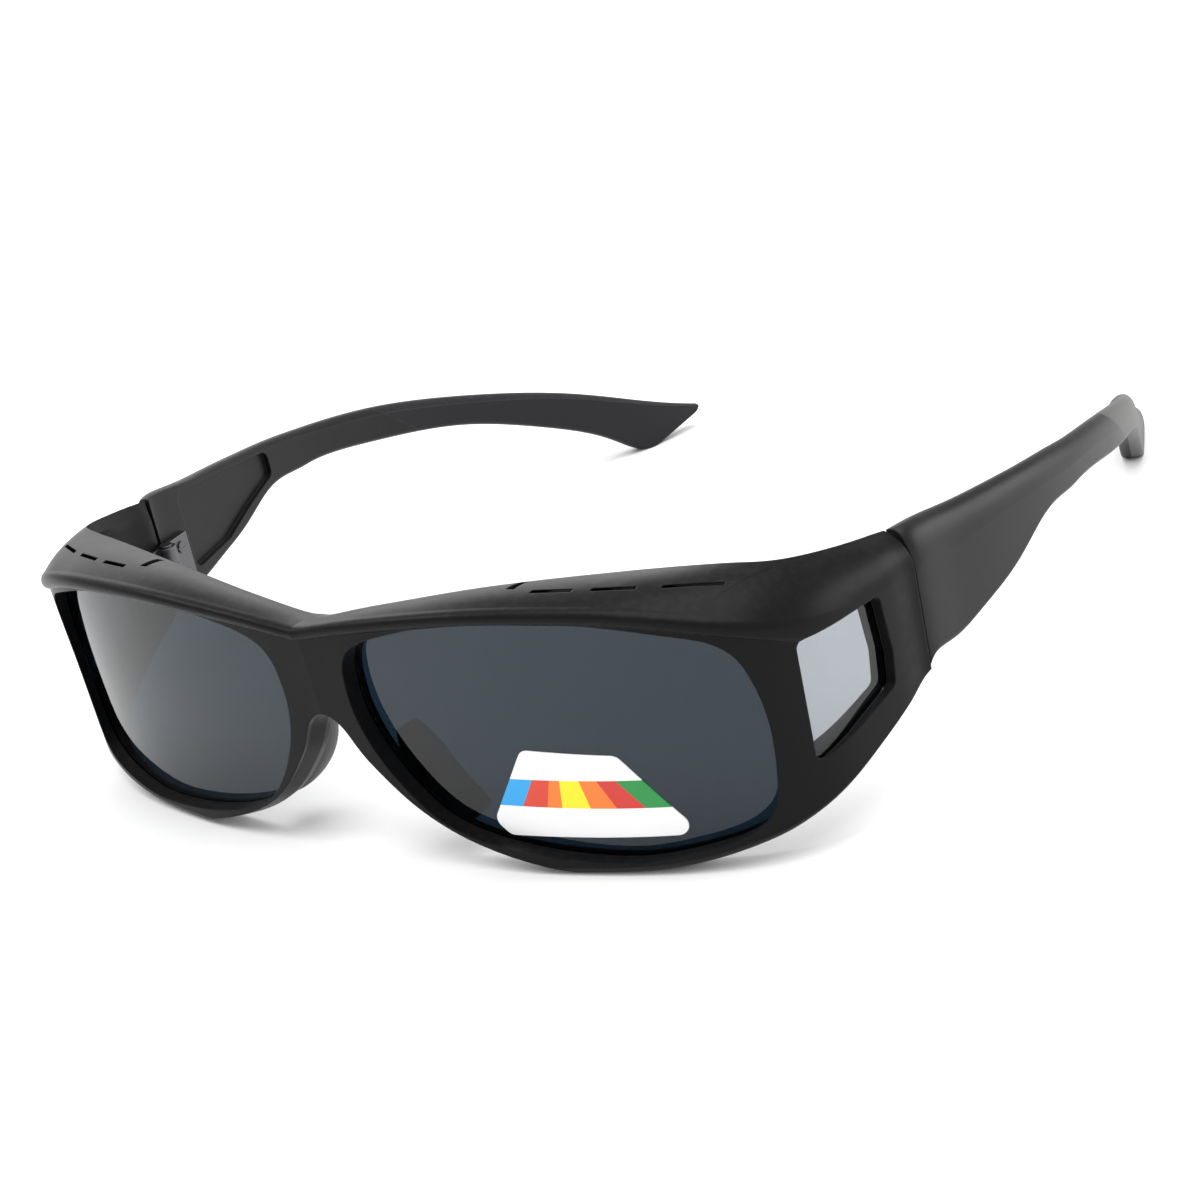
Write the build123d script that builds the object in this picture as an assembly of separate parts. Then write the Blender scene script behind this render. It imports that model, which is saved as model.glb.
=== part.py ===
from build123d import *
import os

# Fitover sunglasses, in millimetres. +X is the wearer's left, +Y runs from the lenses
# to the temple tips, +Z is up. The rims and the temple tips rest on Z = 0.

# Across: from the centre line to the outside of the end piece
opening_inner = 6.0        # centre line to the nasal edge of a lens opening
opening_width = 57.9
end_width = 8.7            # outer edge of the opening to the outside of the end piece
half_width = opening_inner + opening_width + end_width

# Up: from the resting plane to the rear edge of the brow shelf
opening_low = 2.1          # resting plane to the lowest point of a lens opening
opening_height = 36.0
brow_rise = 1.9            # top of the opening to the rear edge of the brow shelf
front_height = opening_low + opening_height + brow_rise

# Back: from the brow crest at the centre to the rear of the temple tips
window_front = 19.0        # brow crest to the front of a side window
window_length = 15.6
joint_wall = 7.4           # rear of the side window to the temple joint
temple_gap = 0.25          # joint face of the front to the temple
temple_length = 131.0
front_depth = window_front + window_length + joint_wall
joint_depth = front_depth + temple_gap
whole_depth = joint_depth + temple_length

# Front: walls and edges
rim_depth = 5.3            # front face to back face of the rims
brow_lip = 1.3             # the brow crest stands this far ahead of the front face
face_lean = 1.6            # the front face leans back this much from crest to rim
crest_round = 1.5          # size of the rounding below the brow crest
crest_softness = 0.45      # height of the crest's own nose above that rounding
shelf_thickness = 2.0      # brow shelf at its rear edge
shelf_dome = 0.9           # crown of the brow shelf between crest and rear edge
shelf_draft = 0.15         # slope of the shelf's rear edge
lip_pull = 0.25            # how far the rounding of the lip swells, as a share of the lip
toe_height = 1.6           # the rims' lower front edge is rounded off by this much
toe_run = 3.0
toe_least = 0.2            # share of that rounding kept at the joint
overrun = 4.0              # how far a cutting body runs past what it cuts
side_reach = 16.0          # way of a cut through the side wall
slab_count = 12            # points along a layer that follows a wall
slab_start = 0.62          # where the side layers start along the guides
window_round = 1.2         # corners of the side window

# Guides from the centre to the temple joint, one value at each of eight evenly counted
# stations: the brow crest and the top rear edge as shares of half_width, front_depth and
# front_height, the lower edge as a share of front_height, and how much of rim_depth, of
# brow_lip and of shelf_dome is there
guide_shares = {
    "crest_x": (0.000, 0.165, 0.413, 0.675, 0.860, 0.944, 0.980, 1.000),
    "crest_y": (0.000, 0.005, 0.036, 0.133, 0.283, 0.480, 0.730, 1.000),
    "crest_z": (0.905, 0.950, 0.990, 0.971, 0.885, 0.796, 0.745, 0.720),
    "rear_x": (0.000, 0.165, 0.406, 0.640, 0.787, 0.870, 0.918, 0.950),
    "rear_y": (0.168, 0.182, 0.264, 0.392, 0.483, 0.580, 0.760, 1.000),
    "rear_z": (0.892, 0.940, 0.995, 1.007, 1.002, 0.976, 0.938, 0.893),
    "foot": (-0.012, -0.012, -0.012, 0.006, 0.080, 0.168, 0.276, 0.390),
    "wall": (1.00, 1.00, 1.00, 1.00, 1.00, 0.90, 0.80, 0.755),
    "lip": (1.00, 1.00, 1.00, 1.00, 0.80, 0.30, 0.05, 0.00),
    "dome": (0.40, 0.80, 1.20, 1.30, 1.30, 1.40, 1.50, 1.60),
}
level_guides = ("rear_y", "rear_z")  # these cross the centre line level, in a saddle
section_count = 18         # cross-sections between the centre and the temple joint
# The front in plan is half_width * (bow u^2 + curl u^4), with u = x / half_width
bow_share = 0.0944
curl_share = 0.1607

# Nose arch, from its top at the centre to the bottom of the rim, with its size as shares
# of half_width and front_height
arch_width_share = 0.510
arch_height_share = 0.5425
arch_shares = [(0.00, 1.00), (0.05, 0.97), (0.09, 0.90), (0.135, 0.76), (0.20, 0.61),
               (0.27, 0.475), (0.346, 0.355), (0.46, 0.23), (0.63, 0.115), (0.80, 0.045),
               (0.95, 0.008), (1.10, -0.012)]
arch_bevel = 1.1           # the arch's front edge is rounded off by this much
arch_bevel_run = 3.0

# Lens openings and lenses
opening_shares = [(0.000, 0.700), (0.012, 0.520), (0.050, 0.375), (0.105, 0.245),
                  (0.165, 0.150), (0.240, 0.088), (0.330, 0.048), (0.440, 0.018),
                  (0.570, 0.000), (0.680, 0.000), (0.790, 0.028), (0.880, 0.062),
                  (0.942, 0.110), (0.975, 0.170), (0.992, 0.280), (1.000, 0.440),
                  (0.997, 0.600), (0.985, 0.715), (0.962, 0.810), (0.925, 0.865),
                  (0.860, 0.905), (0.770, 0.945), (0.650, 0.980), (0.500, 1.000),
                  (0.380, 0.998), (0.260, 0.972), (0.155, 0.935), (0.075, 0.895),
                  (0.028, 0.845), (0.006, 0.775)]
opening_arcs = 4           # edges that make up the outline
opening_margin = 2.6       # how far the opening's cut runs behind the rims
lens_recess = 2.6          # front face to the front of the lens
lens_thickness = 1.8
lens_lap = 0.7             # the lens reaches this far into its groove
lens_clearance = 0.08      # gap between lens and groove

# Side windows and side lenses, seen from the side: heights are shares of front_height
window_low_share = 0.32
window_height_share = 0.44
window_shares = [(0.00, 1.00), (0.02, 0.00), (0.965, 0.26), (1.00, 0.52), (0.94, 1.00)]
window_recess = 1.5
side_lens_thickness = 1.2

# Vents in the brow shelf: middle and length of each slot along the brow
vent_shares = [(0.549, 0.077), (0.659, 0.076), (0.783, 0.092)]
vent_width = 0.8
vent_setback = 4.0         # slots behind the brow crest
vent_length = 6.5          # way of a slot through the shelf, slanting back as it goes down
vent_rise = 1.6            # a slot's cut starts this far above the crest
notch_share = 0.4614       # centre line to the notch inside the vents, of half_width
notch_width = 1.3
notch_setback = 5.6        # front end of the notch behind the brow crest
notch_length = 3.6
notch_depth = 3.0

# Nose pads: flanges that run back from the rims beside the arch, along a path given in
# shares of the arch's width and height
pad_width = 7.4
pad_thickness = 2.2
pad_flare = 1.0            # a pad leans outwards by this much over its width
pad_shares = [(0.205, 0.840), (0.245, 0.690), (0.295, 0.520), (0.368, 0.375), (0.473, 0.262)]
pad_width_shares = (0.50, 0.86, 1.00, 1.00, 0.92, 0.62)
pad_thickness_shares = (0.55, 0.90, 1.00, 1.00, 0.90, 0.55)

# Temples, from the joint to the tip, one value at each of evenly counted stations. Shares
# are of temple_length (back) and front_height (up); low and top are the two ends of each
# cross-section. The ridge is a share of the section's height; drop and lean say how much of
# temple_round and of ridge_lean is there.
temple_shares = {
    "low_y": (0.000, 0.058, 0.120, 0.166, 0.197, 0.228, 0.265, 0.329, 0.403, 0.502, 0.590, 0.670,
              0.746, 0.819, 0.888),
    "top_y": (0.000, 0.058, 0.120, 0.166, 0.197, 0.228, 0.265, 0.333, 0.417, 0.521, 0.616, 0.712,
              0.800, 0.891, 1.000),
    "low_z": (0.395, 0.428, 0.470, 0.510, 0.550, 0.593, 0.620, 0.617, 0.595, 0.537, 0.475, 0.383,
              0.267, 0.125, -0.013),
    "top_z": (0.900, 0.894, 0.875, 0.863, 0.854, 0.845, 0.834, 0.807, 0.770, 0.703, 0.617, 0.515,
              0.399, 0.253, 0.098),
    "ridge": (0.68, 0.68, 0.67, 0.65, 0.61, 0.55, 0.48, 0.46, 0.46, 0.46, 0.46, 0.46,
              0.46, 0.46, 0.46),
    "drop": (0.5, 0.9, 1.3, 1.5, 1.6, 1.7, 1.8, 2.0, 2.2, 2.2, 2.1, 2.0, 1.8, 1.6, 1.3),
    "lean": (1.0, 1.0, 1.0, 1.0, 1.0, 1.0, 1.0, 0.8, 0.5, 0.2, 0.0, 0.0, 0.0, 0.0, 0.0),
}
# Outside of a temple in plan at each twelfth of its length, as a share of half_width
side_shares = (1.000, 1.021, 1.039, 1.050, 1.049, 1.034, 1.008, 0.965, 0.907, 0.841, 0.773,
               0.711, 0.667)
temple_thickness = 3.8
temple_round = 1.0         # rounding of the temple's edges
shoulder_share = 0.6       # where the rounding of the top takes over above the ridge
ridge_lean = 0.35          # above the ridge the outside leans in by this much
# Rounded end of the tips seen from the side, in shares of temple_length and front_height
tip_end_shares = [(0.30, -0.002), (0.8896, -0.002), (0.9996, 0.1062), (0.30, 1.3206)]
tip_heel_round = 2.2
tip_end_round = 1.8
tip_edge_round = 0.4
tip_end_length = 10.0      # the edges this near the rear of the tips are rounded
# Shallow panel on the inside of each temple; its height and place up are shares of
# front_height
panel_start = 7.75         # front end of the temple to the panel
panel_length = 25.0
panel_low_share = 0.495
panel_height_share = 0.35
panel_depth = 1.0
panel_round = 1.5
panel_shares = [(0.00, 0.00), (0.42, 0.09), (0.70, 0.30), (1.00, 0.50), (1.00, 0.82), (0.00, 1.00)]

# Sleeves on the temple tips: two points of the slanting seam, in shares of temple_length
# and front_height, and the tang inside each sleeve
seam_top_shares = (0.4424, 0.7675)
seam_low_shares = (0.5313, 0.5175)
tang_start_share = 0.54    # along the temple's stations
tang_end_share = 0.80
tang_margin_share = 0.30   # of the section, left on each side of the tang
tang_count = 6

# Hinges: barrels on upright pins at the joint
hinge_inset = 5.42         # outside of the joint to the pin
hinge_back = 0.15          # joint face of the front to the pin
hinge_low_share = 0.4625   # bottom of the barrels, of front_height
hinge_height = 9.0
barrel_radius = 1.6
pin_radius = 0.7
pin_head = 0.35            # a pin's head above the barrel
pin_head_radius = 1.1
pin_clearance = 0.05
knuckle_gap = 0.1
barrel_clearance = 0.12    # room round the barrel in the end piece and the temple
leaf_thickness = 1.0
leaf_reach = 6.4           # pin to the end of each leaf
leaf_splay = 0.9           # how far a leaf leans with the wall over its reach
screw_low = 2.0            # lower screw above the bottom of the leaf
screw_pitch = 5.0
screw_reach = 4.4          # pin to the screws
screw_radius = 0.6
screw_head_radius = 1.0
screw_head = 0.45
screw_length = 2.6
slot_width = 0.3
slot_depth = 0.2

# Film label on the left lens, seen from the front, with its place in shares of the opening
film_thickness = 0.15
film_width = 29.5
film_height = 13.5
film_left_share = 0.2919
film_low_share = 0.0667
film_round = 1.6
film_shares = [(0.07, 0.01), (1.00, 0.04), (0.70, 0.94), (0.24, 1.00), (0.00, 0.17)]


def wrap(x):
    """Depth of the front in plan at x from the centre line."""
    u = x / half_width
    return half_width * (bow_share * u**2 + curl_share * u**4)


def guide_value(shares, t, level=False):
    """Smooth curve through evenly counted values, at t from 0 to 1, level at its start or not."""
    steps = len(shares) - 1
    place = t * steps
    i = min(int(place), steps - 1)
    part = place - i
    start, end = shares[i], shares[i + 1]
    opposite = end if level else 2 * start - end
    before = shares[i - 1] if i > 0 else opposite
    after = shares[i + 2] if i + 2 <= steps else 2 * end - start
    leave = (end - before) / 2
    arrive = (after - start) / 2
    rise = end - start
    bend = 3 * rise - 2 * leave - arrive
    return start + part * (leave + part * (bend + part * (leave + arrive - 2 * rise)))


def front_guides(t):
    """Every guide of the front at t, from the centre line to the joint."""
    return {name: guide_value(shares, t, name in level_guides)
            for name, shares in guide_shares.items()}


def front_section(t):
    """Closed upright section through the front: rim, brow crest, shelf and back wall."""
    share = front_guides(t)
    crest, rear = [Vector(share[line + "_x"] * half_width, share[line + "_y"] * front_depth,
                          share[line + "_z"] * front_height) for line in ("crest", "rear")]
    foot = share["foot"] * front_height
    lip = share["lip"] * brow_lip
    lean = share["lip"] * face_lean
    wall = share["wall"] * rim_depth
    dome = share["dome"] * shelf_dome
    flat = Vector(rear.X - crest.X, rear.Y - crest.Y, 0)
    inward = flat.normalized()
    slope = Vector(flat.length, rear.Z - crest.Z).normalized()
    reach = flat.length
    inner = lip + wall

    def at(depth, height):
        return Vector(crest.X, crest.Y, 0) + inward * depth + Vector(0, 0, height)

    face = at(lip, crest.Z - crest_round - crest_softness)
    lip_under = at(-lip * lip_pull, crest.Z - crest_round)
    lip_over = at(-lip * lip_pull, crest.Z + crest_softness * share["lip"])
    start = slope.X * crest_round * share["lip"]
    crest_end = at(start, crest.Z + slope.Y * crest_round + crest_softness * share["lip"])
    run = Vector(reach - start, rear.Z - crest_end.Z)
    dome_near = at(reach - run.X * 2 / 3 - slope.Y * dome, rear.Z - run.Y * 2 / 3 + slope.X * dome)
    dome_far = at(reach - run.X / 3 - slope.Y * dome, rear.Z - run.Y / 3 + slope.X * dome)
    edge = at(reach, rear.Z)
    under = at(reach + shelf_draft, rear.Z - shelf_thickness)
    corner = at(inner, rear.Z - shelf_thickness - crest_round)
    heel = at(inner + lean / 2, foot)
    rounding = toe_least + (1 - toe_least) * share["lip"]
    front_toe = at(lip + lean, foot + toe_height * rounding)
    toe_upper = at(lip + lean + toe_run * rounding / 10, foot + toe_height * rounding / 2)
    toe_lower = at(lip + lean + toe_run * rounding / 3, foot)
    toe = at(lip + lean + toe_run * rounding, foot)
    return Wire([
        Edge.make_bezier(toe, toe_lower, toe_upper, front_toe),
        Edge.make_line(front_toe, face),
        Edge.make_bezier(face, lip_under, lip_over, crest_end),
        Edge.make_bezier(crest_end, dome_near, dome_far, edge),
        Edge.make_line(edge, under),
        Edge.make_line(under, corner),
        Edge.make_line(corner, heel),
        Edge.make_line(heel, toe),
    ])


def swept(outline, way):
    """Solid made by moving a closed flat outline along a vector."""
    return Solid.extrude(Face(outline), way)


def side_of_x(y):
    """Outside of a temple in plan: distance from the centre line at depth y."""
    reach = (y - joint_depth) / temple_length
    return half_width * guide_value(side_shares, min(reach, 1))


def face_slab(near, far):
    """Layer that follows the leaning front face, between two depths behind it."""
    rise = front_height + 2 * overrun
    lean = face_lean / front_height
    back = brow_lip + face_lean + lean * overrun
    xs = [half_width * i / slab_count for i in range(slab_count)]
    near_edge = Edge.make_spline([Vector(x, wrap(x) + back + near, -overrun) for x in xs])
    far_edge = Edge.make_spline([Vector(x, wrap(x) + back + far, -overrun) for x in xs])
    plan = Wire([
        near_edge,
        far_edge,
        Edge.make_line(near_edge @ 0, far_edge @ 0),
        Edge.make_line(near_edge @ 1, far_edge @ 1),
    ])
    return swept(plan, Vector(0, -lean * rise, rise))


def side_slab(near, far):
    """Upright layer that follows the side wall, between two depths inside it."""
    places = [slab_start + (1 - slab_start) * i / slab_count for i in range(slab_count + 1)]
    edges = []
    for depth in (near, far):
        points = []
        for t in places:
            share = front_guides(t)
            crest = Vector(share["crest_x"] * half_width, share["crest_y"] * front_depth, 0)
            rear = Vector(share["rear_x"] * half_width, share["rear_y"] * front_depth, 0)
            points.append(crest + (rear - crest).normalized() * depth)
        edges.append(Edge.make_spline(points))
    edges.append(Edge.make_line(edges[0] @ 0, edges[1] @ 0))
    edges.append(Edge.make_line(edges[0] @ 1, edges[1] @ 1))
    return swept(Wire(edges), Vector(0, 0, front_height))


def opening_outline(grow):
    """Lens opening seen from the front, made larger all round by grow."""
    points = [Vector(opening_inner + u * opening_width, -overrun, opening_low + v * opening_height)
              for u, v in opening_shares]
    moved = []
    for i, point in enumerate(points):
        along = (points[(i + 1) % len(points)] - points[i - 1]).normalized()
        moved.append(point + Vector(along.Z, 0, -along.X) * grow)
    ring = Edge.make_spline(moved, periodic=True)
    return Wire([ring.trim(i / opening_arcs, (i + 1) / opening_arcs) for i in range(opening_arcs)])


def window_outline(grow):
    """Side window seen from the side, made larger all round by grow."""
    points = [Vector(half_width + overrun, window_front + u * window_length,
                     (window_low_share + v * window_height_share) * front_height)
              for u, v in window_shares]
    outline = Wire.make_polygon(points, close=True)
    outline = outline.fillet_2d(window_round, outline.vertices())
    return outline.offset_2d(grow) if grow else outline


arch_half_width = arch_width_share * half_width
arch_height = arch_height_share * front_height

# Front: cross-sections from the centre to the joint, then both halves
sections = [front_section(i / section_count) for i in range(section_count + 1)]
half = Solid.make_loft(sections)
front = half + mirror(half, Plane.YZ)

# Flat lands under the rims
front -= Pos(0, 0, -overrun / 2) * Box(4 * half_width, 4 * front_depth, overrun)

def arch_outline(grow, y):
    """Nose arch seen from the front at depth y, raised by grow."""
    half_arch = [Vector(x * arch_half_width, y, z * arch_height + grow) for x, z in arch_shares]
    curve = Edge.make_spline([Vector(-p.X, p.Y, p.Z) for p in reversed(half_arch[1:])] + half_arch)
    drop = Vector(0, 0, -overrun)
    return Wire([
        curve,
        Edge.make_line(curve @ 1, (curve @ 1) + drop),
        Edge.make_line((curve @ 1) + drop, (curve @ 0) + drop),
        Edge.make_line((curve @ 0) + drop, curve @ 0),
    ])


# Nose arch, with its front edge bevelled
bevel_start = brow_lip + face_lean
front -= swept(arch_outline(0, -overrun), Vector(0, front_depth, 0))
front -= Solid.make_loft([
    arch_outline(arch_bevel, bevel_start),
    arch_outline(0, bevel_start + arch_bevel_run),
], ruled=True)
front -= swept(arch_outline(arch_bevel, -overrun), Vector(0, bevel_start + overrun, 0))

# Lens openings with their grooves, and the lenses
through = Vector(0, front_depth, 0)
opening = swept(opening_outline(0), through) & face_slab(-overrun, rim_depth + opening_margin)
groove_near = lens_recess - lens_clearance
groove_far = lens_recess + lens_thickness + lens_clearance
groove = swept(opening_outline(lens_lap + lens_clearance), through) & face_slab(groove_near, groove_far)
lens = swept(opening_outline(lens_lap), through) & face_slab(lens_recess, lens_recess + lens_thickness)

# Side windows with their grooves, and the side lenses
inward = Vector(-side_reach, 0, 0)
window = swept(window_outline(0), inward)
side_groove_far = window_recess + side_lens_thickness + lens_clearance
side_groove = swept(window_outline(lens_lap + lens_clearance), inward) & side_slab(
    window_recess - lens_clearance, side_groove_far)
side_lens = swept(window_outline(lens_lap), inward) & side_slab(
    window_recess, window_recess + side_lens_thickness)

cuts = [opening, groove, window, side_groove]

# Vents and the notch inside them
slant = Vector(0, vent_length, -vent_length)
for place, length in vent_shares:
    left, right = (place - length / 2) * half_width, (place + length / 2) * half_width
    start = front_height + vent_rise
    slot = Wire.make_polygon([
        Vector(left, wrap(left) + vent_setback - vent_width / 2, start),
        Vector(right, wrap(right) + vent_setback - vent_width / 2, start),
        Vector(right, wrap(right) + vent_setback + vent_width / 2, start),
        Vector(left, wrap(left) + vent_setback + vent_width / 2, start),
    ], close=True)
    cuts.append(swept(slot, slant))

notch_place = notch_share * half_width
notch_start = wrap(notch_place) + notch_setback
notch_middle = Pos(notch_place, notch_start + notch_length / 2, front_height)
notch = notch_middle * Box(notch_width, notch_length, notch_depth)
cuts.append(notch)

for cut in cuts:
    front -= cut
    front -= mirror(cut, Plane.YZ)


# Nose pad: a rounded flange that starts at the back of the rim and clears the lens
pad_middle = brow_lip + rim_depth + pad_width / 2
pad_path = Edge.make_spline([Vector(u * arch_half_width, pad_middle, v * arch_height)
                             for u, v in pad_shares])
pad_way = Vector(pad_flare, pad_width, 0)
pad_sections = []
for i, (broad, thick) in enumerate(zip(pad_width_shares, pad_thickness_shares)):
    t = i / (len(pad_width_shares) - 1)
    plane = Plane(origin=pad_path @ t, x_dir=pad_way, z_dir=pad_path % t)
    pad_sections.append(Wire(Edge.make_ellipse(pad_width / 2 * broad, pad_thickness / 2 * thick, plane)))
pad_body = Solid.make_loft(pad_sections)
nose_pad = (pad_body & face_slab(groove_far + lens_clearance, front_depth)) - front

# Film label on the left lens
film_left = opening_inner + film_left_share * opening_width
film_low = opening_low + film_low_share * opening_height
film_points = [Vector(film_left + u * film_width, -overrun, film_low + v * film_height)
               for u, v in film_shares]
film_outline = Wire.make_polygon(film_points, close=True)
film_outline = film_outline.fillet_2d(film_round, film_outline.vertices())
film = swept(film_outline, through) & face_slab(lens_recess - film_thickness, lens_recess)


def side_point(along, up):
    """Point on the centre plane, in shares of a temple's length and of the front's height."""
    return Vector(0, joint_depth + along * temple_length, up * front_height)


def temple_section(t, margin):
    """Closed section of a temple; a margin gives the slimmer section of the tang inside it."""
    share = {name: guide_value(shares, t) for name, shares in temple_shares.items()}
    low_y, top_y = [joint_depth + share[end] * temple_length for end in ("low_y", "top_y")]
    low = Vector(side_of_x(low_y), low_y, share["low_z"] * front_height)
    top = Vector(side_of_x(top_y), top_y, share["top_z"] * front_height)
    middle_y = (low_y + top_y) / 2
    turn = (side_of_x(middle_y + overrun) - side_of_x(middle_y - overrun)) / (2 * overrun)
    inward = Vector(-1, turn, 0).normalized()
    rise = (top - low).normalized()
    height = (top - low).length

    def at(depth, up):
        return low + inward * depth + rise * up

    if margin:
        near, far = temple_thickness * margin, temple_thickness * (1 - margin)
        return Wire.make_polygon([at(near, height * margin), at(near, height * (1 - margin)),
                                  at(far, height * (1 - margin)), at(far, height * margin)], close=True)
    ridge = height * share["ridge"]
    shoulder = ridge + (height - ridge) * shoulder_share
    brink = height - temple_round * share["drop"]
    return Wire([
        Edge.make_line(at(0, temple_round), at(0, ridge)),
        Edge.make_bezier(
            at(0, ridge),
            at(ridge_lean * share["lean"], shoulder),
            at(temple_thickness * 2 / 5, height + temple_round / 2),
            at(temple_thickness, brink)),
        Edge.make_line(at(temple_thickness, brink), at(temple_thickness, temple_round)),
        Edge.make_bezier(at(temple_thickness, temple_round), at(temple_thickness, -temple_round / 3),
                         at(0, -temple_round / 3), at(0, temple_round)),
    ])


# Temple: outer body, split by the seam into arm and sleeve, with a tang in the sleeve
station_count = len(temple_shares["low_y"]) - 1
temple_raw = Solid.make_loft([temple_section(i / station_count, 0) for i in range(station_count + 1)])
temple_raw -= Pos(0, 0, -overrun / 2) * Box(4 * half_width, 4 * whole_depth, overrun)
tang_step = (tang_end_share - tang_start_share) / tang_count
tang = Solid.make_loft([temple_section(tang_start_share + tang_step * i, tang_margin_share)
                        for i in range(tang_count + 1)])
seam_top, seam_low = [side_point(*shares) for shares in (seam_top_shares, seam_low_shares)]
seam_way = (seam_low - seam_top).normalized() * front_height
seam_middle = (seam_low + seam_top) / 2
seam_back = Vector(0, whole_depth, 0)
behind = swept(Wire.make_polygon([seam_middle - seam_way, seam_middle + seam_way,
                                  seam_middle + seam_way + seam_back, seam_middle - seam_way + seam_back],
                                 close=True), Vector(2 * half_width, 0, 0))
tip_turn = (side_of_x(whole_depth) - side_of_x(whole_depth - overrun)) / overrun
tip_corners = []
for shares in tip_end_shares:
    corner = side_point(*shares)
    tip_corners.append(corner + Vector(0, tip_turn * side_of_x(corner.Y), 0))
tip_outline = Wire.make_polygon(tip_corners, close=True)
for corner, radius in ((tip_corners[1], tip_heel_round), (tip_corners[2], tip_end_round)):
    nearest = tip_outline.vertices().sort_by_distance(corner)[0]
    tip_outline = tip_outline.fillet_2d(radius, [nearest])
tip = ((temple_raw & behind) - tang) & swept(tip_outline, Vector(1, -tip_turn, 0) * 2 * half_width)
tip_edges = [edge for edge in tip.edges()
             if (edge @ 0.5).Y > whole_depth - tip_end_length and (edge @ 0.5).Z > tip_edge_round]
tip = fillet(tip_edges, tip_edge_round)
temple = (temple_raw - behind) + tang

# Shallow panel on the inside of the temple
panel_front = joint_depth + panel_start
panel_points = [Vector(0, panel_front + u * panel_length,
                       (panel_low_share + v * panel_height_share) * front_height)
                for u, v in panel_shares]
panel_outline = Wire.make_polygon(panel_points, close=True)
panel_outline = panel_outline.fillet_2d(panel_round, panel_outline.vertices())
panel_ys = [panel_front - overrun + (panel_length + 2 * overrun) * i / slab_count
            for i in range(slab_count + 1)]
floor_depth = temple_thickness - panel_depth
panel_floor = Edge.make_spline([Vector(side_of_x(y) - floor_depth, y, 0) for y in panel_ys])
panel_left, panel_right = Vector(0, panel_ys[0], 0), Vector(0, panel_ys[-1], 0)
panel_slab = swept(Wire([
    panel_floor,
    Edge.make_line(panel_floor @ 0, panel_left),
    Edge.make_line(panel_left, panel_right),
    Edge.make_line(panel_right, panel_floor @ 1),
]), Vector(0, 0, front_height))
temple -= swept(panel_outline, Vector(2 * half_width, 0, 0)) & panel_slab

# Hinge on an upright pin
axis_x = half_width - hinge_inset
axis_y = front_depth + hinge_back
hinge_low = hinge_low_share * front_height
knuckle_height = (hinge_height - 2 * knuckle_gap) / 3
knuckle_step = knuckle_height + knuckle_gap


def upright(radius, low, height):
    """Upright cylinder on the hinge axis."""
    return Pos(axis_x, axis_y, low + height / 2) * Cylinder(radius, height)


def leaf(way, first, last):
    """Hinge leaf towards -Y or +Y, with the barrel knuckles counted from first to last in twos."""
    face = barrel_radius
    back = barrel_radius - leaf_thickness
    lean = leaf_splay * way
    end = axis_y + way * leaf_reach

    def plate(near, low, height):
        start = axis_y + way * near
        shift = lean * near / leaf_reach
        return swept(Wire.make_polygon([
            Vector(axis_x + back + shift, start, low), Vector(axis_x + face + shift, start, low),
            Vector(axis_x + face + lean, end, low), Vector(axis_x + back + lean, end, low),
        ], close=True), Vector(0, 0, height))

    shape = plate(barrel_radius + barrel_clearance, hinge_low, hinge_height)
    for i in range(first, last + 1, 2):
        low = hinge_low + i * knuckle_step
        shape = shape + plate(0, low, knuckle_height) + upright(barrel_radius, low, knuckle_height)
    return shape


def screws(way):
    """Two slotted screws through a leaf into the wall behind it."""
    shapes = []
    for low in (screw_low, screw_low + screw_pitch):
        x = axis_x + barrel_radius - leaf_thickness + leaf_splay * way * screw_reach / leaf_reach
        place = Pos(x, axis_y + way * screw_reach, hinge_low + low) * Rot(0, 90, 0)
        head = Cylinder(screw_head_radius, screw_head * 2)
        shank = Pos(0, 0, screw_length / 2) * Cylinder(screw_radius, screw_length)
        slot = Pos(0, 0, -screw_head) * Box(slot_width, 4 * screw_head_radius, 2 * slot_depth)
        shapes.append(place * (head + shank - slot))
    return shapes


front_leaf = leaf(-1, 0, 2)
temple_leaf = leaf(1, 1, 1)
bore = upright(pin_radius + pin_clearance, hinge_low, hinge_height)
tight_bore = upright(pin_radius, hinge_low, hinge_height)
pin_top = upright(pin_head_radius, hinge_low + hinge_height, pin_head)
pin = upright(pin_radius, hinge_low, hinge_height) + pin_top
front_leaf -= tight_bore
temple_leaf -= bore
room = upright(barrel_radius + barrel_clearance, hinge_low - barrel_clearance,
               hinge_height + pin_head + 2 * barrel_clearance)
front_screws = screws(-1)
temple_screws = screws(1)
for screw in front_screws:
    front_leaf -= screw
for screw in temple_screws:
    temple_leaf -= screw
for cut in [room, leaf(-1, 0, 2)] + front_screws:
    front -= cut
    front -= mirror(cut, Plane.YZ)
for cut in [room, leaf(1, 1, 1)] + temple_screws:
    temple -= cut

left_nodes = {
    "lens": lens,
    "side_lens": side_lens,
    "nose_pad": nose_pad,
    "temple": temple,
    "temple_tip": tip,
    "hinge_front_leaf": front_leaf,
    "hinge_temple_leaf": temple_leaf,
    "hinge_pin": pin,
    "front_leaf_screw_low": front_screws[0],
    "front_leaf_screw_high": front_screws[1],
    "temple_leaf_screw_low": temple_screws[0],
    "temple_leaf_screw_high": temple_screws[1],
}
nodes = {"front_frame": front, "lens_label": film}
for name, shape in left_nodes.items():
    nodes[name + "_left"] = shape
    nodes[name + "_right"] = mirror(shape, Plane.YZ)

# The origin lies under the middle of the whole depth
middle_depth = (front.bounding_box().min.Y + tip.bounding_box().max.Y) / 2
print("middle depth", round(middle_depth, 3))

os.makedirs("parts", exist_ok=True)
for name, shape in nodes.items():
    export_step(Pos(0, -middle_depth, 0) * shape, "parts/" + name + ".step")
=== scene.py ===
import math

import bpy
from mathutils import Matrix, Vector

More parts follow.
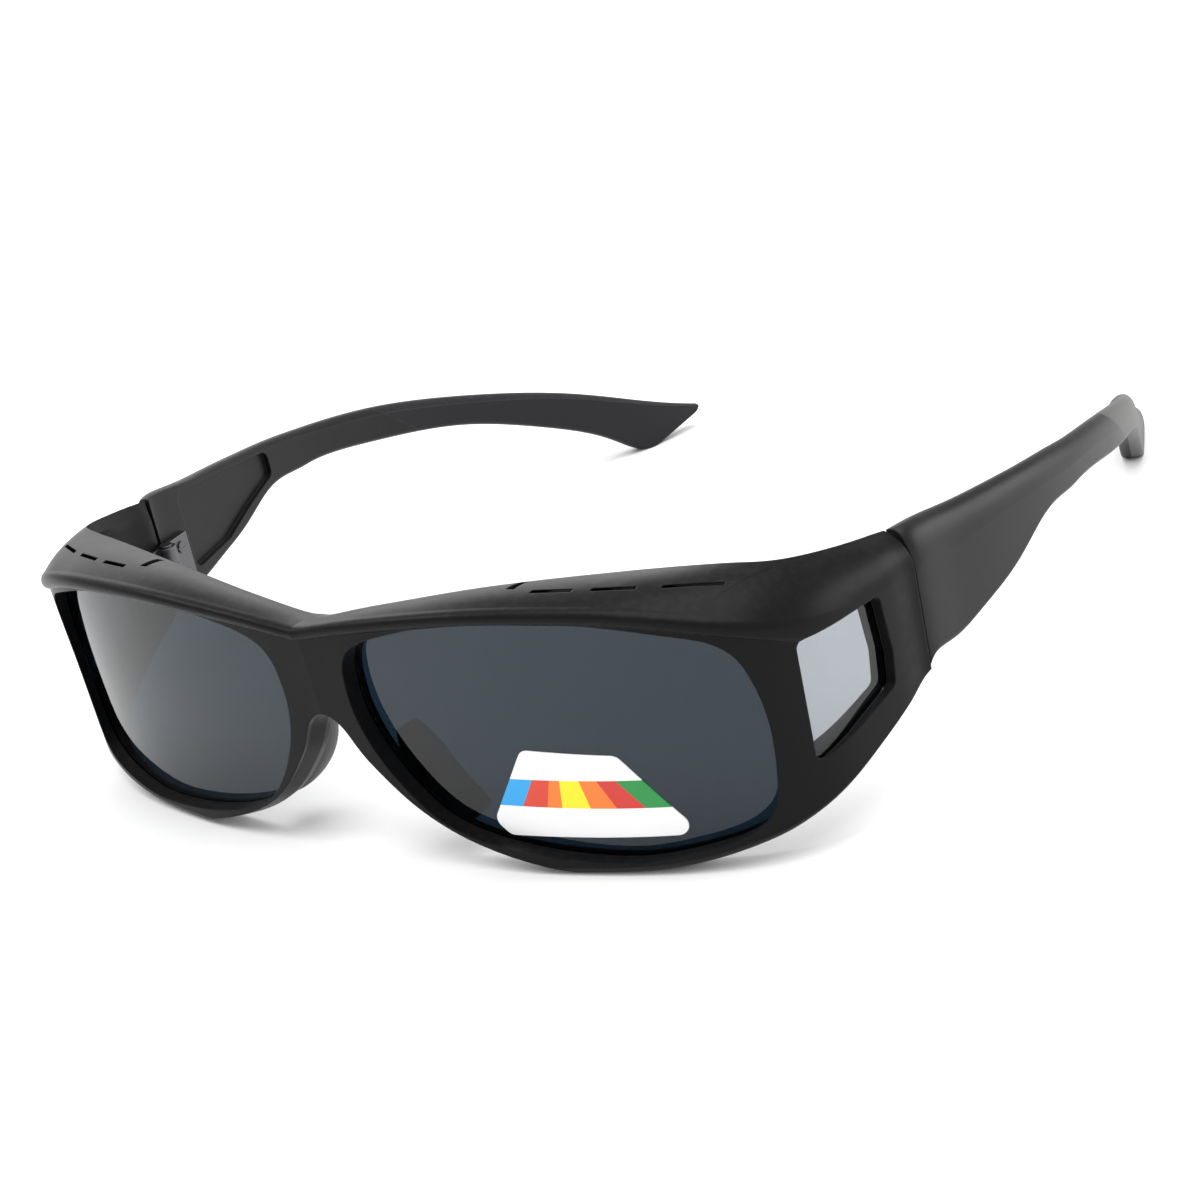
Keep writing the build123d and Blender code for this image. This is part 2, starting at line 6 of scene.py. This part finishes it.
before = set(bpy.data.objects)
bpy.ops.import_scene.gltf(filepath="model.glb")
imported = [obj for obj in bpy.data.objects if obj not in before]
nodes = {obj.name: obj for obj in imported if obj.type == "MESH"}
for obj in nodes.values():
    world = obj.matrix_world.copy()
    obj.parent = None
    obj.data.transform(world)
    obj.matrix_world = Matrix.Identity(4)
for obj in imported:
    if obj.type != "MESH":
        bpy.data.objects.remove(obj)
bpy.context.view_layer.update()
scene = bpy.context.scene
print("frame loaded:", len(nodes), "nodes")

# Places are in metres in the part's frame. Those on the front were measured from its crest,
# which lies this far before the frame's origin
crestDepth = 0.084797


# Helpers for node trees

def addNode(tree, kind, links=None, **settings):
    node = tree.nodes.new(kind)
    for name, value in settings.items():
        setattr(node, name, value)
    for socket, source in (links or {}).items():
        if isinstance(source, bpy.types.NodeSocket):
            tree.links.new(source, node.inputs[socket])
        else:
            node.inputs[socket].default_value = source
    return node


def calculate(tree, operation, *values, clamp=False):
    node = addNode(tree, "ShaderNodeMath", dict(enumerate(values)), operation=operation, use_clamp=clamp)
    return node.outputs[0]


def mapRange(tree, value, start, end, low=0.0, high=1.0):
    node = addNode(tree, "ShaderNodeMapRange", {
        "Value": value, "From Min": start, "From Max": end, "To Min": low, "To Max": high})
    return node.outputs[0]


def objectPlace(tree):
    place = addNode(tree, "ShaderNodeTexCoord").outputs["Object"]
    return addNode(tree, "ShaderNodeSeparateXYZ", {0: place}).outputs


def noise(tree, scale, detail):
    place = addNode(tree, "ShaderNodeTexCoord").outputs["Object"]
    texture = addNode(tree, "ShaderNodeTexNoise", {"Vector": place, "Scale": scale, "Detail": detail})
    return texture.outputs[0]


# A colour mix of two sockets or plain colours, by the mix node's socket numbers
mixSockets = {"amount": 0, "first": 6, "second": 7, "result": 2}


def blend(tree, amount, first, second):
    links = {mixSockets["amount"]: amount}
    for end, colour in (("first", first), ("second", second)):
        plain = not isinstance(colour, bpy.types.NodeSocket)
        links[mixSockets[end]] = (*colour, 1) if plain else colour
    mix = addNode(tree, "ShaderNodeMix", links, data_type="RGBA")
    return mix.outputs[mixSockets["result"]]


# Shared effects

def newGroup(name, inputs, outputs):
    group = bpy.data.node_groups.new(name, "ShaderNodeTree")
    for label, value in inputs.items():
        socket = group.interface.new_socket(label, in_out="INPUT", socket_type="NodeSocketFloat")
        socket.default_value = value
    for label, kind in outputs.items():
        group.interface.new_socket(label, in_out="OUTPUT", socket_type=kind)
    return group, group.nodes.new("NodeGroupInput").outputs, group.nodes.new("NodeGroupOutput").inputs


# Moulded skin: fine grain, rounded-off sharp edges, a mask of the edges and slow blotches
def makeMouldedSkin(look):
    group, given, wanted = newGroup(
        "mouldedSkin",
        {"Grain Scale": 4000, "Grain Depth": 0.3, "Edge Radius": 0.0003, "Blotch Scale": 60},
        {"Normal": "NodeSocketVector", "Edges": "NodeSocketFloat", "Blotches": "NodeSocketFloat"})
    grain = noise(group, given["Grain Scale"], look["grainDetail"])
    rounded = addNode(group, "ShaderNodeBevel", {"Radius": given["Edge Radius"]},
                      samples=look["edgeSamples"]).outputs[0]
    bump = addNode(group, "ShaderNodeBump", {
        "Height": grain, "Strength": given["Grain Depth"], "Distance": look["grainHeight"],
        "Normal": rounded})
    flat = addNode(group, "ShaderNodeNewGeometry").outputs["Normal"]
    match = addNode(group, "ShaderNodeVectorMath", {0: rounded, 1: flat}, operation="DOT_PRODUCT")
    turned = calculate(group, "SUBTRACT", 1.0, match.outputs["Value"])
    edges = calculate(group, "MULTIPLY", turned, look["edgeGain"], clamp=True)
    group.links.new(bump.outputs[0], wanted["Normal"])
    group.links.new(edges, wanted["Edges"])
    group.links.new(noise(group, given["Blotch Scale"], look["blotchDetail"]), wanted["Blotches"])
    return group


# Settled dust: more on what faces up, broken up by specks
def makeSettledDust(look):
    group, given, wanted = newGroup(
        "settledDust", {"Amount": 0.1, "Speck Scale": 900}, {"Dust": "NodeSocketFloat"})
    normal = addNode(group, "ShaderNodeNewGeometry").outputs["Normal"]
    facing = addNode(group, "ShaderNodeSeparateXYZ", {0: normal}).outputs["Z"]
    up = calculate(group, "POWER", calculate(group, "MAXIMUM", facing, 0.0), look["upPower"])
    specks = calculate(group, "POWER", noise(group, given["Speck Scale"], look["speckDetail"]),
                       look["speckPower"])
    lying = calculate(group, "MULTIPLY", up, specks)
    group.links.new(calculate(group, "MULTIPLY", lying, given["Amount"], clamp=True), wanted["Dust"])
    return group


# Handling marks: slow smudges in the gloss of what is polished
def makeSmudges(look):
    group, given, wanted = newGroup(
        "smudges", {"Scale": 35, "Clean Gloss": 0.02, "Smudged Gloss": 0.1},
        {"Roughness": "NodeSocketFloat"})
    marks = calculate(group, "POWER", noise(group, given["Scale"], look["detail"]), look["power"])
    spread = mapRange(group, marks, 0.0, 1.0, given["Clean Gloss"], given["Smudged Gloss"])
    group.links.new(spread, wanted["Roughness"])
    return group


mouldedSkin = makeMouldedSkin({
    "grainDetail": 3, "grainHeight": 0.00004, "edgeSamples": 4, "edgeGain": 6.0, "blotchDetail": 4})
settledDust = makeSettledDust({"upPower": 2.0, "speckDetail": 5, "speckPower": 3.0})
smudges = makeSmudges({"detail": 5, "power": 3.0})


# Materials

def newMaterial(name):
    material = bpy.data.materials.new(name)
    material.use_nodes = True
    tree = material.node_tree
    return material, tree, tree.nodes["Principled BSDF"]


def placeGroup(tree, group, values):
    return addNode(tree, "ShaderNodeGroup", values, node_tree=group).outputs


# Noise stays mostly between these two values
blotchRange = (0.3, 0.7)


# Plastic, rubber, film or steel: blotches, then print, edges lightened as wear and partly as a painted
# edge highlight, and dust on top
def mouldedMaterial(name, look, paint=None):
    material, tree, surface = newMaterial(name)
    skin = placeGroup(tree, mouldedSkin, {
        "Grain Scale": look["grainScale"], "Grain Depth": look["grainDepth"],
        "Edge Radius": look["edgeRadius"], "Blotch Scale": look["blotchScale"]})
    dust = placeGroup(tree, settledDust, {"Amount": look["dust"]})
    base = blend(tree, skin["Blotches"], look["colour"], look["blotchColour"])
    if paint:
        base = paint(tree, base)
    # Edges are lightened: partly real wear, partly a painted highlight along the edges
    wornAndHighlight = calculate(tree, "MULTIPLY", skin["Edges"], look["wearAndHighlight"], clamp=True)
    base = blend(tree, wornAndHighlight, base, look["wornAndHighlightColour"])
    base = blend(tree, dust["Dust"], base, look["dustColour"])
    gloss = mapRange(tree, skin["Blotches"], *blotchRange,
                     look["roughness"] - look["glossSpread"], look["roughness"] + look["glossSpread"])
    tree.links.new(base, surface.inputs["Base Color"])
    tree.links.new(gloss, surface.inputs["Roughness"])
    tree.links.new(skin["Normal"], surface.inputs["Normal"])
    surface.inputs["Specular IOR Level"].default_value = look["specular"]
    surface.inputs["Metallic"].default_value = look["metallic"]
    return material


def glassMaterial(name, look):
    material, tree, surface = newMaterial(name)
    marks = placeGroup(tree, smudges, {
        "Scale": look["smudgeScale"], "Clean Gloss": look["gloss"], "Smudged Gloss": look["smudgedGloss"]})
    cloud = noise(tree, look["cloudScale"], look["cloudDetail"])
    tree.links.new(blend(tree, cloud, look["tint"], look["cloudTint"]), surface.inputs["Base Color"])
    tree.links.new(marks["Roughness"], surface.inputs["Roughness"])
    surface.inputs["IOR"].default_value = look["ior"]
    surface.inputs["Transmission Weight"].default_value = 1
    return material


# The mould's parting line in the brow, a thin line outside the vents on both sides
groove = {"across": 0.0617, "along": 0.01825 - crestDepth, "turn": math.radians(-21.4),
          "halfLength": 0.0052, "halfWidth": 0.00016, "lowest": 0.036, "colour": (0.0015, 0.0015, 0.0015)}


def paintGroove(tree, base):
    place = objectPlace(tree)
    across = calculate(tree, "SUBTRACT", calculate(tree, "ABSOLUTE", place["X"]), groove["across"])
    along = calculate(tree, "SUBTRACT", place["Y"], groove["along"])
    cos, sin = math.cos(groove["turn"]), math.sin(groove["turn"])
    side = calculate(tree, "ADD", calculate(tree, "MULTIPLY", across, cos),
                     calculate(tree, "MULTIPLY", along, sin))
    way = calculate(tree, "SUBTRACT", calculate(tree, "MULTIPLY", along, cos),
                    calculate(tree, "MULTIPLY", across, sin))
    line = calculate(tree, "COMPARE", side, 0.0, groove["halfWidth"])
    span = calculate(tree, "COMPARE", way, 0.0, groove["halfLength"])
    high = calculate(tree, "GREATER_THAN", place["Z"], groove["lowest"])
    mask = calculate(tree, "MULTIPLY", calculate(tree, "MULTIPLY", line, span), high)
    return blend(tree, mask, base, groove["colour"])


# The sleeves are grey outside and dark inside. The change follows the plan curve of the tips,
# given as a cubic in Y, at a depth from the outside
twoTone = {"curve": (0.07421, 0.17583, -10.941, 63.550), "depth": 0.0022, "softness": 0.00005,
           "inside": (0.006, 0.006, 0.008)}


def paintInside(tree, base):
    place = objectPlace(tree)
    outside = 0.0
    for term in reversed(twoTone["curve"]):
        outside = calculate(tree, "ADD", calculate(tree, "MULTIPLY", outside, place["Y"]), term)
    depth = calculate(tree, "SUBTRACT", outside, calculate(tree, "ABSOLUTE", place["X"]))
    mask = mapRange(tree, depth, twoTone["depth"] - twoTone["softness"],
                    twoTone["depth"] + twoTone["softness"])
    return blend(tree, mask, base, twoTone["inside"])


# Label print: a band of stripes that fan out from a point above it. Each stripe starts at a share
# of the fan, which opens to a slope of one on either side
labelPrint = {
    "fanAcross": 0.0358, "fanHeight": 0.0223, "fanSlope": 1.0, "bandMiddle": 0.0114, "bandHalf": 0.0021,
    "stripes": [(0.000, (0.02, 0.36, 0.78)), (0.200, (0.68, 0.05, 0.02)), (0.344, (0.86, 0.20, 0.02)),
                (0.430, (1.00, 0.78, 0.01)), (0.590, (0.86, 0.20, 0.02)), (0.735, (0.62, 0.03, 0.02)),
                (0.888, (0.01, 0.26, 0.05))],
}


def paintStripes(tree, base):
    place = objectPlace(tree)
    across = calculate(tree, "SUBTRACT", place["X"], labelPrint["fanAcross"])
    below = calculate(tree, "SUBTRACT", labelPrint["fanHeight"], place["Z"])
    slope = calculate(tree, "DIVIDE", across, below)
    fan = mapRange(tree, slope, -labelPrint["fanSlope"], labelPrint["fanSlope"])
    ramp = addNode(tree, "ShaderNodeValToRGB", {0: fan})
    ramp.color_ramp.interpolation = "CONSTANT"
    stops = ramp.color_ramp.elements
    while len(stops) < len(labelPrint["stripes"]):
        stops.new(0.5)
    for stop, (start, colour) in zip(stops, labelPrint["stripes"]):
        stop.position = start
        stop.color = (*colour, 1)
    band = calculate(tree, "COMPARE", place["Z"], labelPrint["bandMiddle"], labelPrint["bandHalf"])
    return blend(tree, band, base, ramp.outputs[0])


# The lighter edge colour in these looks is partly wear and partly a painted edge highlight
plastic = {
    "colour": (0.0035, 0.0035, 0.0040), "blotchColour": (0.0050, 0.0050, 0.0056), "blotchScale": 70,
    "roughness": 0.33, "glossSpread": 0.03, "specular": 0.105, "metallic": 0,
    "grainScale": 5200, "grainDepth": 0.22, "edgeRadius": 0.0003,
    "wearAndHighlight": 0.12, "wornAndHighlightColour": (0.035, 0.035, 0.035), "dust": 0.07, "dustColour": (0.35, 0.34, 0.32)}
framePlastic = mouldedMaterial("framePlastic", plastic, paintGroove)
templePlastic = mouldedMaterial("templePlastic", {
    **plastic, "colour": (0.0055, 0.0055, 0.0060), "roughness": 0.38, "specular": 0.24,
    "grainScale": 4600})
padRubber = mouldedMaterial("padRubber", {
    **plastic, "colour": (0.008, 0.008, 0.008), "blotchColour": (0.011, 0.011, 0.011),
    "roughness": 0.48, "specular": 0.4, "grainScale": 3600, "grainDepth": 0.35})
sleeveRubber = mouldedMaterial("sleeveRubber", {
    **plastic, "colour": (0.080, 0.080, 0.078), "blotchColour": (0.100, 0.100, 0.098),
    "roughness": 0.5, "specular": 0.25, "grainScale": 3200, "grainDepth": 0.4,
    "wornAndHighlightColour": (0.30, 0.30, 0.29), "dust": 0.1}, paintInside)
labelFilm = mouldedMaterial("labelFilm", {
    **plastic, "colour": (0.86, 0.86, 0.86), "blotchColour": (0.91, 0.91, 0.91),
    "roughness": 0.28, "specular": 0.5, "grainScale": 1500, "grainDepth": 0.08,
    "edgeRadius": 0.00005, "wearAndHighlight": 0.1, "wornAndHighlightColour": (0.9, 0.9, 0.9), "dust": 0.02}, paintStripes)
blackSteel = mouldedMaterial("blackSteel", {
    **plastic, "colour": (0.09, 0.09, 0.095), "blotchColour": (0.13, 0.13, 0.135),
    "roughness": 0.36, "specular": 0.5, "metallic": 1, "grainScale": 2600, "grainDepth": 0.2,
    "edgeRadius": 0.00012, "wearAndHighlight": 0.6, "wornAndHighlightColour": (0.35, 0.35, 0.35)})
smokeLens = glassMaterial("smokeLens", {
    "tint": (0.006, 0.015, 0.025), "cloudTint": (0.008, 0.018, 0.029), "cloudScale": 18,
    "cloudDetail": 2, "gloss": 0.02, "smudgedGloss": 0.09, "smudgeScale": 40, "ior": 1.45})
paleLens = glassMaterial("paleLens", {
    "tint": (0.28, 0.30, 0.33), "cloudTint": (0.31, 0.33, 0.36), "cloudScale": 30,
    "cloudDetail": 2, "gloss": 0.03, "smudgedGloss": 0.12, "smudgeScale": 60, "ior": 1.45})

# The first name that a node's own name starts with gives its material
nodeLooks = {"lens_label": labelFilm, "lens_": smokeLens, "side_lens": paleLens, "nose_pad": padRubber,
             "temple_tip": sleeveRubber, "temple_leaf": blackSteel, "temple": templePlastic,
             "front_frame": framePlastic, "front_leaf": blackSteel, "hinge": blackSteel}
for name, node in nodes.items():
    node.material_slots[0].link = "OBJECT"
    node.material_slots[0].material = next(
        material for start, material in nodeLooks.items() if name.startswith(start))
print("materials placed")


# Floor, light and camera

def addFloor(look):
    bpy.ops.mesh.primitive_plane_add(size=look["across"])
    floor = bpy.context.object
    floor.name = "floor"
    material, tree, surface = newMaterial("floorPaper")
    fibres = noise(tree, look["fibreScale"], look["fibreDetail"])
    tree.links.new(blend(tree, fibres, look["colour"], look["fibreColour"]), surface.inputs["Base Color"])
    surface.inputs["Roughness"].default_value = look["roughness"]
    surface.inputs["Specular IOR Level"].default_value = look["specular"]
    floor.data.materials.append(material)


def addWorld(look):
    world = bpy.data.worlds.new("studio")
    scene.world = world
    world.use_nodes = True
    background = world.node_tree.nodes["Background"].inputs
    background["Color"].default_value = (*look["colour"], 1)
    background["Strength"].default_value = look["strength"]


# A softbox stands beside the object and points at it
def addSoftbox(name, box):
    light = bpy.data.lights.new(name, "AREA")
    light.shape = "RECTANGLE"
    light.size, light.size_y, light.energy = box["wide"], box["high"], box["power"]
    stand = bpy.data.objects.new(name, light)
    scene.collection.objects.link(stand)
    stand.location = box["place"]
    stand.rotation_euler = (-Vector(box["place"])).to_track_quat("-Z", "Y").to_euler()


def addCamera(name, view):
    data = bpy.data.cameras.new(name)
    data.lens, data.sensor_width, data.clip_start = view["lens"], view["sensor"], view["nearest"]
    camera = bpy.data.objects.new(name, data)
    scene.collection.objects.link(camera)
    right, up = Vector(view["right"]), Vector(view["up"])
    turn = Matrix((right, up, right.cross(up))).transposed().to_4x4()
    camera.matrix_world = Matrix.Translation(view["place"]) @ turn
    scene.camera = camera


addFloor({"across": 6, "colour": (0.90, 0.90, 0.90), "fibreColour": (0.92, 0.92, 0.92),
          "fibreScale": 900, "fibreDetail": 3, "roughness": 0.9, "specular": 0.1})
addWorld({"colour": (1, 1, 1), "strength": 0.8})
softboxes = {
    "rearBox": {"place": (-1.2, 0.95, 0.7), "wide": 1.4, "high": 0.9, "power": 6},
    "topBox": {"place": (0.3, -0.2, 1.8), "wide": 1.8, "high": 1.8, "power": 30},
    "sideBox": {"place": (1.2, 1.0, 0.35), "wide": 1.0, "high": 0.6, "power": 8},
    "crestBox": {"place": (-0.8, -0.5, 0.95), "wide": 0.6, "high": 0.25, "power": 3},
}
for name, box in softboxes.items():
    addSoftbox(name, box)

# The camera stands where the photograph was taken from, found from its perspective
addCamera("photoCamera", {
    "place": (0.2219, -0.294737, 0.14987), "right": (0.8116, 0.54747, -0.20393),
    "up": (-0.05229, 0.41574, 0.90798), "lens": 72, "sensor": 36, "nearest": 0.01})
scene.view_settings.view_transform = "Standard"
print("floor, light and camera set")
